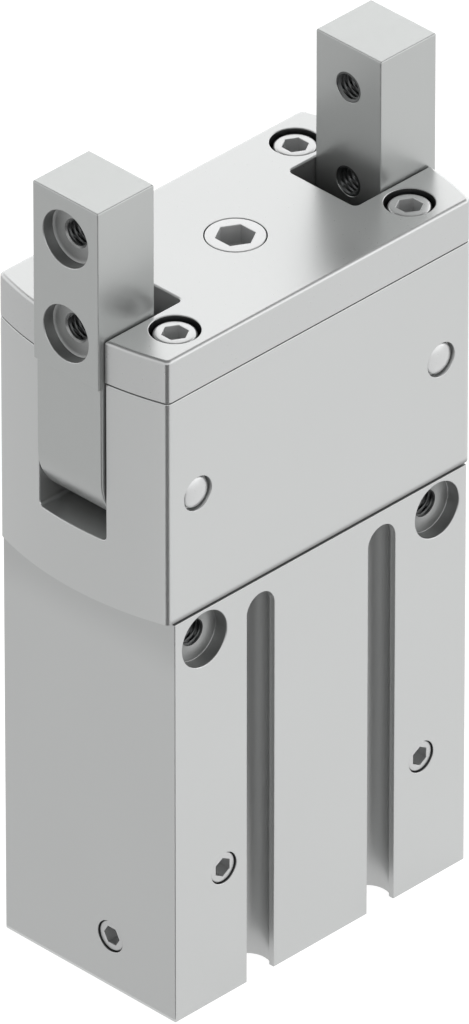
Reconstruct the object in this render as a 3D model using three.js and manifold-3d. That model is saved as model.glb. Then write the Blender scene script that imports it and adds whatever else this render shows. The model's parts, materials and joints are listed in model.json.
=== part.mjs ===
// Radial pneumatic gripper with two jaws, each swinging 90 degrees outwards.
// Millimetres. X runs along the jaws, -Y is the sensor slot side, Z is up from the base face.
// The jaws stand closed: upright and parallel, with the piston at the bottom of its stroke.
import * as THREE from "three";
import { mergeVertices } from "three/addons/utils/BufferGeometryUtils.js";
import Module from "manifold-3d";

const wasm = await Module();
wasm.setup();

// ---- facets round a full circle ----
const FINE = 32;
const ROUND = 20;
const SMALL = 12;
const HEX = 6;

// ---- cylinder body ----
const BODY = { halfX: 30.12, halfY: 17.58, top: 69.3, chamfer: 0.3 };
const BORE = { r: 12.5, bottom: 7.5, top: 53.3 };
const COVER_SEAT_R = 14.1;
const RING_GROOVE = { r: 15, bottom: 1.4, top: 2.8 };
const GLAND = { r: 8, bottom: 57, rodHole: 5.3 };
const SEAT = { x: 24, z: 64.2, r: 4.55, depth: 2.3, coneR: 3.1, coneDepth: 2.6, threadR: 2.15 };
const SLOT = { x: 12.5, lip: 2.8, neck: 1, axisY: 14.78, r: 3.6, topZ: 63.98 };
const PORT = { left: -20.05, right: 20.95, z: 22.4, r: 2.6 };
const LOW_CHANNEL = { y: -4.12, z: 8.78 };
const HIGH_CHANNEL = { y: -4.12, z: 51.2 };
const CHANNEL_R = 1.25;
const BALL = { r: 1.45, z: 3.2 };
const BASE_HOLE = { x: 24, y: 11, r: 2.15, depth: 11 };

// ---- plugs ----
const PLUG = { r: 2.52, length: 4.6, recess: 0.3, hex: 1.6, hexDepth: 2.4 };
const CENTRE_PLUG = { r: 4.5, hole: 4.6, length: 6, hex: 3.05, hexDepth: 3.2 };

// ---- mechanism housing and top plate ----
const CASE = { halfY: 17.25, apexX: 33.75, endR: 55, corner: 1.1, edge: 0.4 };
const HOUSING_TOP = 107.3;
const PLATE_TOP = 114.6;
const POCKET = { halfX: 27.4, halfY: 6.8, floor: 72.5, corner: 2 };
const END_SLOT = { floor: 80.4, corner: 0.8 };
const PLATE_SLOT = { x: 17.7, halfY: 6.8, corner: 0.8 };
const SPIGOT_TOP = 71.3;

// ---- screws: head radius, head height, shank radius, shank length ----
const PLATE_SCREW = { x: 24, y: 11.6, headR: 3.3, head: 4, r: 2, length: 14, hex: 2.07, seatZ: 110.1 };
const PLATE_SCREW_WELL_R = 3.8;
const CASE_SCREW = { x: 18.3, y: 12.6, headR: 2.75, head: 3, r: 1.5, length: 16, hex: 1.44, seatZ: 75.2 };
const CASE_SCREW_WELL_R = 3.1;
const HEAD_SCREW = { headR: 4.25, head: 4.9, r: 2.5, length: 20, hex: 2.31, seatZ: 83.8 };

// ---- jaws ----
const PIVOT = { x: 25, z: 89.6, pinR: 2.5, pinHalf: 17.4, holeR: 2.56, ringR: 2.82, ringDepth: 1.2 };
const LEVER = { halfY: 6.6, reach: 9, inner: 1.66, heelR: 9.7, heelRise: 1.1, edge: 0.3 };
const FINGER = { inner: 23.14, outer: 34.53, halfY: 6.6, bottom: 106.4, top: 136.5, edge: 0.3 };
const FINGER_BORE = { zs: [113.4, 129.4], r: 4.55, depth: 2, floorR: 4.12, floorDepth: 2.25, threadR: 2.2 };
const THREAD_MOUTH = { r: 2.6, depth: 0.5 };
const BUSH = { r: 3.5, inner: 2.56, hole: 3.56, halfY: 6.4 };
const FORK = { halfY: 3.3, x: 1.2, z: 1, hubR: 5 };
const DRIVE = { arm: 11, bossR: 4, pinR: 1.75, hole: 1.8, pinHalf: 6.3 };
const ROLLER = { r: 3, inner: 1.8, halfY: 2.9 };

// ---- piston and crosshead ----
const STROKE = DRIVE.arm * Math.SQRT2;
const PISTON = { r: 12.4, bottom: 9.8, top: 35.8, spigotHole: 3.1, holeBottom: 21.5 };
const PISTON_SEALS = [{ bottom: 12.2, top: 15 }, { bottom: 30.6, top: 33.4 }];
const SEAL = { r: 12.45, groove: 10.2 };
const MAGNET = { r: 11.9, groove: 9, bottom: 20.4, top: 25.4 };
const LOW_BUFFER = { r: 8, bottom: 7.8 };
const HIGH_BUFFER = { r: 9, inner: 5.3, thickness: 1.5 };
const ROD = { r: 5, spigot: 3, bottom: 22, top: 75.8 };
const CROSSHEAD = { hubR: 6, top: 88.8, slotX: 10.6, slotHalf: 3.45 };
const WING = { wingX: 19.6, wingHalfY: 3, wingTop: 87.8 };

// ---- colours ----
const ALUMINIUM = 0xc9cbcb;
const BRIGHT_PLATE = 0xe3e4e4;
const JAW_STEEL = 0xb4b7b6;
const SCREW_STEEL = 0xe9eaea;
const PLUG_STEEL = 0xd8dada;
const DARK_STEEL = 0x6d7073;
const BRONZE = 0xb08d57;
const RUBBER = 0x202224;
const MAGNET_GREY = 0x4a4a50;

// ================= solids =================

// A three.js geometry as a solid for joining and cutting.
function solid(geometry) {
  const flat = geometry.index ? geometry.toNonIndexed() : geometry;
  const bare = new THREE.BufferGeometry();
  bare.setAttribute("position", flat.getAttribute("position"));
  const merged = mergeVertices(bare, 1e-4);
  const corners = merged.index.array;
  const kept = [];
  for (let i = 0; i < corners.length; i += 3) {
    const [a, b, c] = [corners[i], corners[i + 1], corners[i + 2]];
    if (a !== b && b !== c && c !== a) kept.push(a, b, c);
  }
  const mesh = new wasm.Mesh({
    numProp: 3,
    vertProperties: merged.attributes.position.array,
    triVerts: new Uint32Array(kept),
  });
  return new wasm.Manifold(mesh);
}

function joined(...solids) {
  return wasm.Manifold.union(solids);
}

function cut(base, ...tools) {
  return wasm.Manifold.difference([base, ...tools]);
}

// A solid as a three.js geometry with flat faces.
function geometryOf(shape) {
  const mesh = shape.getMesh();
  const geometry = new THREE.BufferGeometry();
  geometry.setAttribute("position", new THREE.BufferAttribute(mesh.vertProperties, 3));
  geometry.setIndex(new THREE.BufferAttribute(mesh.triVerts, 1));
  const flat = geometry.toNonIndexed();
  flat.computeVertexNormals();
  return flat;
}

// A named mesh with its own material.
function piece(name, shape, colour, metalness = 0.8, roughness = 0.4) {
  const material = new THREE.MeshStandardMaterial({ color: colour, metalness, roughness });
  material.name = name;
  const mesh = new THREE.Mesh(geometryOf(shape), material);
  mesh.name = name;
  return mesh;
}

function block(x0, x1, y0, y1, z0, z1) {
  const box = new THREE.BoxGeometry(x1 - x0, y1 - y0, z1 - z0);
  return solid(box.translate((x0 + x1) / 2, (y0 + y1) / 2, (z0 + z1) / 2));
}

// A turned solid: profile pairs are [radius, height along the axis], rising along the outside.
function turned(profile, axis, at, facets = ROUND, phase = 0) {
  const points = profile.map(([r, h]) => new THREE.Vector2(r, h));
  const lathe = new THREE.LatheGeometry(points, facets, phase, 2 * Math.PI);
  if (axis === "z") lathe.rotateX(Math.PI / 2);
  if (axis === "x") lathe.rotateZ(-Math.PI / 2);
  return solid(lathe.translate(...at));
}

function cylinder(r, from, to, axis, at, facets = ROUND) {
  return turned([[0, from], [r, from], [r, to], [0, to]], axis, at, facets);
}

// A ring with a rectangular section.
function ring(inner, outer, from, to, axis, at, facets = ROUND) {
  const section = [[inner, from], [outer, from], [outer, to], [inner, to], [inner, from]];
  return turned(section, axis, at, facets);
}

// A hexagonal prism whose corner radius is r.
function hexagon(r, from, to, axis, at, phase = 0) {
  return turned([[0, from], [r, from], [r, to], [0, to]], axis, at, HEX, phase);
}

// An outline in XY pushed up from z0 to z1, its outer edges chamfered by edge.
function prism(shape, z0, z1, edge = 0) {
  const settings = { depth: z1 - z0 - 2 * edge, curveSegments: 8, steps: 1, bevelEnabled: edge > 0 };
  if (edge > 0) {
    settings.bevelThickness = edge;
    settings.bevelSize = edge;
    settings.bevelOffset = -edge;
    settings.bevelSegments = 1;
  }
  return solid(new THREE.ExtrudeGeometry(shape, settings).translate(0, 0, z0 + edge));
}

function outline(points) {
  return new THREE.Shape(points.map(([x, y]) => new THREE.Vector2(x, y)));
}

function arcPoints(cx, cy, r, from, to, steps) {
  const points = [];
  for (let i = 0; i <= steps; i++) {
    const angle = from + ((to - from) * i) / steps;
    points.push([cx + r * Math.cos(angle), cy + r * Math.sin(angle)]);
  }
  return points;
}

// A rectangle whose four corners are rounded by r.
function roundedBox(x0, x1, y0, y1, r, steps = 4) {
  const q = Math.PI / 2;
  return outline([
    ...arcPoints(x1 - r, y0 + r, r, -q, 0, steps),
    ...arcPoints(x1 - r, y1 - r, r, 0, q, steps),
    ...arcPoints(x0 + r, y1 - r, r, q, 2 * q, steps),
    ...arcPoints(x0 + r, y0 + r, r, 2 * q, 3 * q, steps),
  ]);
}

// The same solid turned half a revolution about the vertical axis.
function turnedAround(shape) {
  return shape.rotate([0, 0, 180]);
}

// Both signs of x and y, counter-clockwise.
const CORNERS = [[1, -1], [1, 1], [-1, 1], [-1, -1]];

// ================= cylinder body =================

function sensorSlot(x) {
  const face = -BODY.halfY - 1;
  const shoulder = -BODY.halfY + SLOT.neck;
  const start = Math.asin((shoulder + SLOT.axisY) / SLOT.r);
  const channel = arcPoints(0, -SLOT.axisY, SLOT.r, start, Math.PI / 2, 7).slice(0, -1);
  const half = [[SLOT.lip, face], [SLOT.lip, shoulder], ...channel];
  const closed = half.map(([px, py]) => [-px, py]).reverse();
  const tip = [0, -SLOT.axisY + SLOT.r];
  const section = [...half, tip, ...closed];
  const run = prism(outline(section), -1, SLOT.topZ).translate([x, 0, 0]);
  const profile = [[0, face], ...half, tip];
  const end = turned(profile, "y", [x, 0, SLOT.topZ]);
  return joined(run, end);
}

// A sleeve seat with its cone and thread, opening towards -Y.
function sleeveSeat(x) {
  const face = -BODY.halfY;
  const profile = [
    [0, face - 1],
    [SEAT.r, face - 1],
    [SEAT.r, face + SEAT.depth],
    [SEAT.coneR, face + SEAT.depth],
    [SEAT.threadR, face + SEAT.coneDepth],
    [SEAT.threadR, 0.5],
    [0, 0.5],
  ];
  return turned(profile, "y", [x, 0, SEAT.z]);
}

function airChannels() {
  const deep = -BODY.halfX - 1;
  const low = [0, LOW_CHANNEL.y, LOW_CHANNEL.z];
  const high = [0, HIGH_CHANNEL.y, HIGH_CHANNEL.z];
  const mouth = BODY.halfX - 5.2;
  return [
    cylinder(PORT.r, deep, -mouth, "x", low, SMALL),
    cylinder(CHANNEL_R, -mouth - 0.5, -9, "x", low, SMALL),
    cylinder(CHANNEL_R, BALL.z, PORT.z, "z", [PORT.left, LOW_CHANNEL.y, 0], SMALL),
    cylinder(PORT.r, mouth, -deep, "x", high, SMALL),
    cylinder(CHANNEL_R, 9, mouth + 0.5, "x", high, SMALL),
    cylinder(CHANNEL_R, BALL.z, HIGH_CHANNEL.z, "z", [PORT.right, HIGH_CHANNEL.y, 0], SMALL),
    cylinder(BALL.r + 0.05, -1, BALL.z + BALL.r + 0.2, "z", [PORT.left, LOW_CHANNEL.y, 0], SMALL),
    cylinder(BALL.r + 0.05, -1, BALL.z + BALL.r + 0.2, "z", [PORT.right, HIGH_CHANNEL.y, 0], SMALL),
  ];
}

function cylinderBody() {
  const c = BODY.chamfer;
  const [a, b] = [BODY.halfX, BODY.halfY];
  const corner = outline([
    [a - c, -b], [a, -b + c], [a, b - c], [a - c, b],
    [-a + c, b], [-a, b - c], [-a, -b + c], [-a + c, -b],
  ]);
  const hollow = turned([
    [0, -1],
    [COVER_SEAT_R, -1],
    [COVER_SEAT_R, RING_GROOVE.bottom],
    [RING_GROOVE.r, RING_GROOVE.bottom],
    [RING_GROOVE.r, RING_GROOVE.top],
    [COVER_SEAT_R, RING_GROOVE.top],
    [COVER_SEAT_R, BORE.bottom],
    [BORE.r, BORE.bottom],
    [BORE.r, BORE.top],
    [GLAND.rodHole, BORE.top],
    [GLAND.rodHole, GLAND.bottom],
    [GLAND.r, GLAND.bottom],
    [GLAND.r, BODY.top + 1],
    [0, BODY.top + 1],
  ], "z", [0, 0, 0], FINE);
  const seats = joined(sleeveSeat(-SEAT.x), sleeveSeat(SEAT.x));
  const tools = [hollow, sensorSlot(-SLOT.x), sensorSlot(SLOT.x), seats, turnedAround(seats)];
  for (const x of [PORT.left, PORT.right]) {
    tools.push(cylinder(PORT.r, -BODY.halfY - 1, BODY.halfY + 1, "y", [x, 0, PORT.z], SMALL));
  }
  for (const [sx, sy] of CORNERS) {
    const low = [sx * BASE_HOLE.x, sy * BASE_HOLE.y, 0];
    const high = [sx * CASE_SCREW.x, sy * CASE_SCREW.y, 0];
    const tip = CASE_SCREW.seatZ - CASE_SCREW.length - 0.7;
    tools.push(cylinder(BASE_HOLE.r, -1, BASE_HOLE.depth, "z", low, SMALL));
    tools.push(cylinder(CASE_SCREW.r + 0.05, tip, BODY.top + 1, "z", high, SMALL));
  }
  const raw = prism(corner, 0, BODY.top, c);
  return piece("cylinder_body", cut(raw, ...tools, ...airChannels()), ALUMINIUM, 0.55, 0.5);
}

function bottomCover() {
  const body = turned([
    [0, RING_GROOVE.top - 0.1],
    [14, RING_GROOVE.top - 0.1],
    [14, 4.35],
    [12.6, 4.35],
    [12.6, 5.85],
    [14, 5.85],
    [14, BORE.bottom],
    [0, BORE.bottom],
  ], "z", [0, 0, 0], FINE);
  const pull = cylinder(1.25, 2, 5.5, "z", [0, 0, 0], SMALL);
  return piece("bottom_cover", cut(body, pull), ALUMINIUM, 0.6, 0.45);
}

function bottomCoverORing() {
  const section = arcPoints(13.33, 5.1, 0.69, -Math.PI / 2, 1.5 * Math.PI, 8);
  return piece("bottom_cover_o_ring", turned(section, "z", [0, 0, 0], FINE), RUBBER, 0, 0.7);
}

function bottomRetainingRing() {
  const [bottom, top] = [RING_GROOVE.bottom + 0.1, RING_GROOVE.top - 0.1];
  const gap = 0.2;
  const outer = arcPoints(0, 0, 14.8, gap, 2 * Math.PI - gap, 24);
  const inner = arcPoints(0, 0, 12.9, 2 * Math.PI - gap, gap, 24);
  const parts = [prism(outline([...outer, ...inner]), bottom, top)];
  const eyes = [];
  for (const side of [-1, 1]) {
    const at = [12 * Math.cos(0.34), side * 12 * Math.sin(0.34), 0];
    parts.push(cylinder(1.7, bottom, top, "z", at, SMALL));
    eyes.push(cylinder(0.8, bottom - 1, top + 1, "z", at, SMALL));
  }
  return piece("bottom_retaining_ring", cut(joined(...parts), ...eyes), DARK_STEEL, 0.7, 0.45);
}

function channelBall(name, x) {
  const ball = new THREE.SphereGeometry(BALL.r, 12, 6).rotateX(Math.PI / 2);
  const shape = solid(ball.translate(x, LOW_CHANNEL.y, BALL.z));
  return piece(name, shape, PLUG_STEEL, 0.9, 0.25);
}

// A set screw closing an M5 hole; the mouth of the hole is at height 0 and the screw lies below it.
function portPlug(name, axis, at, inwards, phase) {
  const [near, far] = [PLUG.recess, PLUG.recess + PLUG.length];
  const [low, high] = inwards > 0 ? [near, far] : [-far, -near];
  const profile = [
    [0, low],
    [PLUG.r - 0.3, low],
    [PLUG.r, low + 0.3],
    [PLUG.r, high - 0.3],
    [PLUG.r - 0.3, high],
    [0, high],
  ];
  const [from, to] = inwards > 0 ? [low - 1, low + PLUG.hexDepth] : [high - PLUG.hexDepth, high + 1];
  const socket = hexagon(PLUG.hex, from, to, axis, at, phase);
  return piece(name, cut(turned(profile, axis, at, SMALL), socket), PLUG_STEEL, 0.85, 0.35);
}

function rodSeal() {
  const shape = turned([
    [5.06, 57.2], [5.9, 57.2], [6.5, 58.6], [7.1, 57.2], [7.94, 57.2],
    [7.94, 60.9], [5.06, 60.9], [5.06, 57.2],
  ], "z", [0, 0, 0], FINE);
  return piece("rod_seal", shape, RUBBER, 0, 0.7);
}

function guideBush() {
  const shape = turned([
    [5.06, 61], [7.94, 61], [7.94, SPIGOT_TOP], [5.06, SPIGOT_TOP], [5.06, 61],
  ], "z", [0, 0, 0], FINE);
  return piece("guide_bush", shape, BRONZE, 0.8, 0.4);
}

// ================= housing and top plate =================

// The outline shared by the housing and the plate: flat front and back, bowed ends, round corners.
function caseOutline() {
  const centre = CASE.apexX - CASE.endR;
  const cy = CASE.halfY - CASE.corner;
  const cx = centre + Math.sqrt((CASE.endR - CASE.corner) ** 2 - cy ** 2);
  const meet = Math.atan2(cy, cx - centre);
  const half = [
    ...arcPoints(cx, -cy, CASE.corner, -Math.PI / 2, -meet, 4),
    ...arcPoints(centre, 0, CASE.endR, -meet, meet, 14).slice(1, -1),
    ...arcPoints(cx, cy, CASE.corner, meet, Math.PI / 2, 4),
  ];
  return outline([...half, ...half.map(([x, y]) => [-x, -y])]);
}

function mechanismHousing() {
  const pocket = roundedBox(-POCKET.halfX, POCKET.halfX, -POCKET.halfY, POCKET.halfY, POCKET.corner);
  const mouth = roundedBox(-POCKET.halfY, POCKET.halfY, END_SLOT.floor, 125, END_SLOT.corner);
  const reach = CASE.apexX + 2;
  // The mouth outline is drawn in (Y, Z) and pushed along X through both ends.
  const ends = prism(mouth, -reach, reach).rotate([90, 0, 0]).rotate([0, 0, 90]);
  const tools = [
    prism(pocket, POCKET.floor, HOUSING_TOP + 1),
    ends,
    cylinder(GLAND.r, BODY.top - 1, SPIGOT_TOP, "z", [0, 0, 0], FINE),
    cylinder(6.6, SPIGOT_TOP - 1, POCKET.floor + 1, "z", [0, 0, 0], FINE),
  ];
  for (const x of [-PIVOT.x, PIVOT.x]) {
    const at = [x, 0, PIVOT.z];
    const [face, step] = [CASE.halfY + 1, CASE.halfY - PIVOT.ringDepth];
    tools.push(cylinder(PIVOT.holeR, -face, face, "y", at));
    tools.push(cylinder(PIVOT.ringR, -face, -step, "y", at));
    tools.push(cylinder(PIVOT.ringR, step, face, "y", at));
  }
  for (const [sx, sy] of CORNERS) {
    const plate = [sx * PLATE_SCREW.x, sy * PLATE_SCREW.y, 0];
    const low = [sx * CASE_SCREW.x, sy * CASE_SCREW.y, 0];
    const tip = PLATE_SCREW.seatZ - PLATE_SCREW.length - 0.6;
    tools.push(cylinder(PLATE_SCREW.r + 0.05, tip, HOUSING_TOP + 1, "z", plate, SMALL));
    tools.push(cylinder(CASE_SCREW_WELL_R, CASE_SCREW.seatZ, HOUSING_TOP + 1, "z", low, SMALL));
    tools.push(cylinder(CASE_SCREW.r + 0.2, BODY.top - 1, CASE_SCREW.seatZ + 1, "z", low, SMALL));
  }
  const raw = prism(caseOutline(), BODY.top, HOUSING_TOP, CASE.edge);
  return piece("mechanism_housing", cut(raw, ...tools), ALUMINIUM, 0.55, 0.5);
}

function topPlate() {
  const { x, halfY, corner } = PLATE_SLOT;
  const tools = [
    prism(roundedBox(x, 45, -halfY, halfY, corner), HOUSING_TOP - 1, PLATE_TOP + 1),
    prism(roundedBox(-45, -x, -halfY, halfY, corner), HOUSING_TOP - 1, PLATE_TOP + 1),
    cylinder(CENTRE_PLUG.hole, HOUSING_TOP - 1, PLATE_TOP + 1, "z", [0, 0, 0]),
  ];
  for (const [sx, sy] of CORNERS) {
    const at = [sx * PLATE_SCREW.x, sy * PLATE_SCREW.y, 0];
    tools.push(cylinder(PLATE_SCREW_WELL_R, PLATE_SCREW.seatZ, PLATE_TOP + 1, "z", at));
    tools.push(cylinder(PLATE_SCREW.r + 0.2, HOUSING_TOP - 1, PLATE_SCREW.seatZ + 1, "z", at, SMALL));
  }
  const raw = prism(caseOutline(), HOUSING_TOP, PLATE_TOP, CASE.edge);
  return piece("top_plate", cut(raw, ...tools), BRIGHT_PLATE, 0.55, 0.4);
}

// A socket head screw standing on its seat, head upwards.
function socketScrew(name, size, x, y, colour) {
  const { headR, head, r, length, hex, seatZ } = size;
  const body = turned([
    [0, seatZ - length],
    [r - 0.4, seatZ - length],
    [r, seatZ - length + 0.4],
    [r, seatZ],
    [headR, seatZ],
    [headR, seatZ + head - 0.4],
    [headR - 0.5, seatZ + head],
    [0, seatZ + head],
  ], "z", [x, y, 0], SMALL);
  const socket = hexagon(hex, seatZ + head / 2, seatZ + head + 1, "z", [x, y, 0]);
  return piece(name, cut(body, socket), colour, 0.85, 0.3);
}

function centrePlug() {
  const bottom = PLATE_TOP - CENTRE_PLUG.length;
  const body = turned([
    [0, bottom],
    [CENTRE_PLUG.r - 0.4, bottom],
    [CENTRE_PLUG.r, bottom + 0.4],
    [CENTRE_PLUG.r, PLATE_TOP - 0.15],
    [CENTRE_PLUG.r - 0.15, PLATE_TOP],
    [0, PLATE_TOP],
  ], "z", [0, 0, 0]);
  const socket = hexagon(CENTRE_PLUG.hex, PLATE_TOP - CENTRE_PLUG.hexDepth, PLATE_TOP + 1, "z", [0, 0, 0]);
  return piece("centre_plug", cut(body, socket), SCREW_STEEL, 0.85, 0.3);
}

function pivotPin(name, x) {
  const [end, r] = [PIVOT.pinHalf, PIVOT.pinR];
  const shape = turned([
    [0, -end],
    [r - 0.2, -end + 0.35],
    [r, -end + 0.55],
    [r, end - 0.55],
    [r - 0.2, end - 0.35],
    [0, end],
  ], "y", [x, 0, PIVOT.z]);
  return piece(name, shape, SCREW_STEEL, 0.9, 0.25);
}

// ================= jaws =================

// The drive pin of the right jaw, from the pivot: inwards and down at 45 degrees.
const DRIVE_AT = [PIVOT.x - DRIVE.arm * Math.SQRT1_2, 0, PIVOT.z - DRIVE.arm * Math.SQRT1_2];

function driveArm() {
  const hub = cylinder(DRIVE.bossR + 1.6, -LEVER.halfY, LEVER.halfY, "y", [PIVOT.x, 0, PIVOT.z]);
  const boss = cylinder(DRIVE.bossR, -LEVER.halfY, LEVER.halfY, "y", DRIVE_AT);
  return wasm.Manifold.hull([hub, boss]);
}

// The lever: a round heel below the pivot and a flat outer face, drawn in (X, Z) and pushed along Y.
// Its edges are chamfered to clear the round corners of the end slot's floor.
function lever() {
  const { reach, heelR, heelRise } = LEVER;
  const [inner, outer] = [PIVOT.x - LEVER.inner, PIVOT.x + reach];
  const foot = -Math.acos((heelR - reach - LEVER.inner) / heelR);
  const heel = arcPoints(outer - heelR, PIVOT.z + heelRise, heelR, foot, 0, 12);
  const top = FINGER.bottom + LEVER.edge;
  const side = outline([[inner, top], ...heel, [outer, top]]);
  return prism(side, -LEVER.halfY, LEVER.halfY, LEVER.edge).rotate([90, 0, 0]);
}

function fingerBore(z) {
  const { outer, inner } = FINGER;
  const bore = FINGER_BORE;
  const profile = [
    [0, inner - 1],
    [THREAD_MOUTH.r, inner - 1],
    [THREAD_MOUTH.r, inner],
    [bore.threadR, inner + THREAD_MOUTH.depth],
    [bore.threadR, outer - bore.floorDepth],
    [bore.floorR, outer - bore.floorDepth],
    [bore.r, outer - bore.depth],
    [bore.r, outer + 1],
    [0, outer + 1],
  ];
  return turned(profile, "x", [0, 0, z]);
}

function finger() {
  const { inner, outer, halfY, bottom, top, edge } = FINGER;
  const shape = outline([
    [inner + edge, -halfY], [outer - edge, -halfY], [outer, -halfY + edge], [outer, halfY - edge],
    [outer - edge, halfY], [inner + edge, halfY], [inner, halfY - edge], [inner, -halfY + edge],
  ]);
  return prism(shape, bottom, top, edge);
}

// The opening between the two cheeks of the lever, where the crosshead wing reaches in.
function forkGap() {
  const x = PIVOT.x + FORK.x;
  const opening = block(-5, x, -FORK.halfY, FORK.halfY, PIVOT.z - 20, PIVOT.z + FORK.z);
  return cut(opening, cylinder(FORK.hubR, -5, 5, "y", [PIVOT.x, 0, PIVOT.z]));
}

// The right jaw; the left one is the same piece turned half round.
function jaw() {
  const body = joined(finger(), lever(), driveArm());
  return cut(
    body,
    forkGap(),
    cylinder(BUSH.hole, -9, 9, "y", [PIVOT.x, 0, PIVOT.z]),
    cylinder(DRIVE.hole, -9, 9, "y", DRIVE_AT, SMALL),
    ...FINGER_BORE.zs.map(fingerBore),
  );
}

function jawSet(side, turn) {
  const bush = ring(BUSH.inner, BUSH.r, -BUSH.halfY, BUSH.halfY, "y", [PIVOT.x, 0, PIVOT.z]);
  const pin = cylinder(DRIVE.pinR, -DRIVE.pinHalf, DRIVE.pinHalf, "y", DRIVE_AT, SMALL);
  const roller = ring(ROLLER.inner, ROLLER.r, -ROLLER.halfY, ROLLER.halfY, "y", DRIVE_AT, SMALL);
  const set = new THREE.Group();
  set.name = "jaw_set_" + side;
  set.add(
    piece("jaw_" + side, turn(jaw()), JAW_STEEL, 0.8, 0.4),
    piece("pivot_bush_" + side, turn(bush), BRONZE, 0.8, 0.4),
    piece("drive_pin_" + side, turn(pin), SCREW_STEEL, 0.9, 0.25),
    piece("drive_roller_" + side, turn(roller), DARK_STEEL, 0.8, 0.35),
  );
  return set;
}

// ================= piston and crosshead =================

function piston() {
  const grooves = [];
  for (const { bottom, top } of PISTON_SEALS) {
    grooves.push(ring(SEAL.groove, 14, bottom, top, "z", [0, 0, 0], FINE));
  }
  grooves.push(ring(MAGNET.groove, 14, MAGNET.bottom, MAGNET.top, "z", [0, 0, 0], FINE));
  grooves.push(cylinder(PISTON.spigotHole, PISTON.holeBottom, PISTON.top + 1, "z", [0, 0, 0]));
  const body = cylinder(PISTON.r, PISTON.bottom, PISTON.top, "z", [0, 0, 0], FINE);
  return piece("piston", cut(body, ...grooves), ALUMINIUM, 0.6, 0.45);
}

function pistonSeal(name, { bottom, top }) {
  const [low, high] = [bottom + 0.1, top - 0.1];
  const inner = SEAL.groove + 0.05;
  const shape = turned([
    [inner, low], [12.1, low], [SEAL.r, low + 0.5], [SEAL.r, high - 0.5], [12.1, high],
    [inner, high], [inner, low],
  ], "z", [0, 0, 0], FINE);
  return piece(name, shape, RUBBER, 0, 0.7);
}

function pistonMagnet() {
  const [low, high] = [MAGNET.bottom + 0.05, MAGNET.top - 0.05];
  const shape = ring(MAGNET.groove + 0.05, MAGNET.r, low, high, "z", [0, 0, 0], FINE);
  return piece("piston_magnet", shape, MAGNET_GREY, 0.5, 0.5);
}

function lowBuffer() {
  const shape = cylinder(LOW_BUFFER.r, LOW_BUFFER.bottom, PISTON.bottom, "z", [0, 0, 0]);
  return piece("piston_buffer_lower", shape, RUBBER, 0, 0.7);
}

function highBuffer() {
  const top = PISTON.top + HIGH_BUFFER.thickness;
  const shape = ring(HIGH_BUFFER.inner, HIGH_BUFFER.r, PISTON.top, top, "z", [0, 0, 0]);
  return piece("piston_buffer_upper", shape, RUBBER, 0, 0.7);
}

function pistonRod() {
  const body = turned([
    [0, ROD.bottom],
    [ROD.spigot, ROD.bottom],
    [ROD.spigot, PISTON.top],
    [ROD.r, PISTON.top],
    [ROD.r, ROD.top],
    [0, ROD.top],
  ], "z", [0, 0, 0], FINE);
  const tip = HEAD_SCREW.seatZ - HEAD_SCREW.length - 0.8;
  const thread = cylinder(HEAD_SCREW.r + 0.05, tip, ROD.top + 1, "z", [0, 0, 0], SMALL);
  return piece("piston_rod", cut(body, thread), SCREW_STEEL, 0.9, 0.2);
}

function crosshead() {
  const { hubR, top, slotX, slotHalf } = CROSSHEAD;
  const { wingX, wingHalfY, wingTop } = WING;
  const hub = cylinder(hubR, ROD.top, top, "z", [0, 0, 0]);
  const wings = block(-wingX, wingX, -wingHalfY, wingHalfY, ROD.top, wingTop);
  const [low, high] = [DRIVE_AT[2] - slotHalf, DRIVE_AT[2] + slotHalf];
  return piece(
    "crosshead",
    cut(
      joined(hub, wings),
      block(slotX, wingX + 1, -5, 5, low, high),
      block(-wingX - 1, -slotX, -5, 5, low, high),
      cylinder(HEAD_SCREW.headR + 0.15, HEAD_SCREW.seatZ, top + 1, "z", [0, 0, 0]),
      cylinder(HEAD_SCREW.r + 0.15, ROD.top - 1, HEAD_SCREW.seatZ + 1, "z", [0, 0, 0], SMALL),
    ),
    DARK_STEEL,
    0.8,
    0.4,
  );
}

// ================= assembly =================

function fixedGroup() {
  const set = new THREE.Group();
  set.name = "fixed_set";
  const lowFace = [0, LOW_CHANNEL.y, LOW_CHANNEL.z];
  const highFace = [0, HIGH_CHANNEL.y, HIGH_CHANNEL.z];
  set.add(
    cylinderBody(),
    bottomCover(),
    bottomCoverORing(),
    bottomRetainingRing(),
    channelBall("channel_ball_left", PORT.left),
    channelBall("channel_ball_right", PORT.right),
    portPlug("port_plug_front_left", "y", [PORT.left, -BODY.halfY, PORT.z], 1, 0),
    portPlug("port_plug_front_right", "y", [PORT.right, -BODY.halfY, PORT.z], 1, 0),
    portPlug("port_plug_end_left", "x", [-BODY.halfX, lowFace[1], lowFace[2]], 1, Math.PI / 2),
    portPlug("port_plug_end_right", "x", [BODY.halfX, highFace[1], highFace[2]], -1, Math.PI / 2),
    rodSeal(),
    guideBush(),
    mechanismHousing(),
    topPlate(),
    centrePlug(),
    pivotPin("pivot_pin_left", -PIVOT.x),
    pivotPin("pivot_pin_right", PIVOT.x),
  );
  CORNERS.forEach(([sx, sy], i) => {
    const [plate, low] = [PLATE_SCREW, CASE_SCREW];
    set.add(socketScrew("plate_screw_" + (i + 1), plate, sx * plate.x, sy * plate.y, SCREW_STEEL));
    set.add(socketScrew("housing_screw_" + (i + 1), low, sx * low.x, sy * low.y, DARK_STEEL));
  });
  return set;
}

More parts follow.
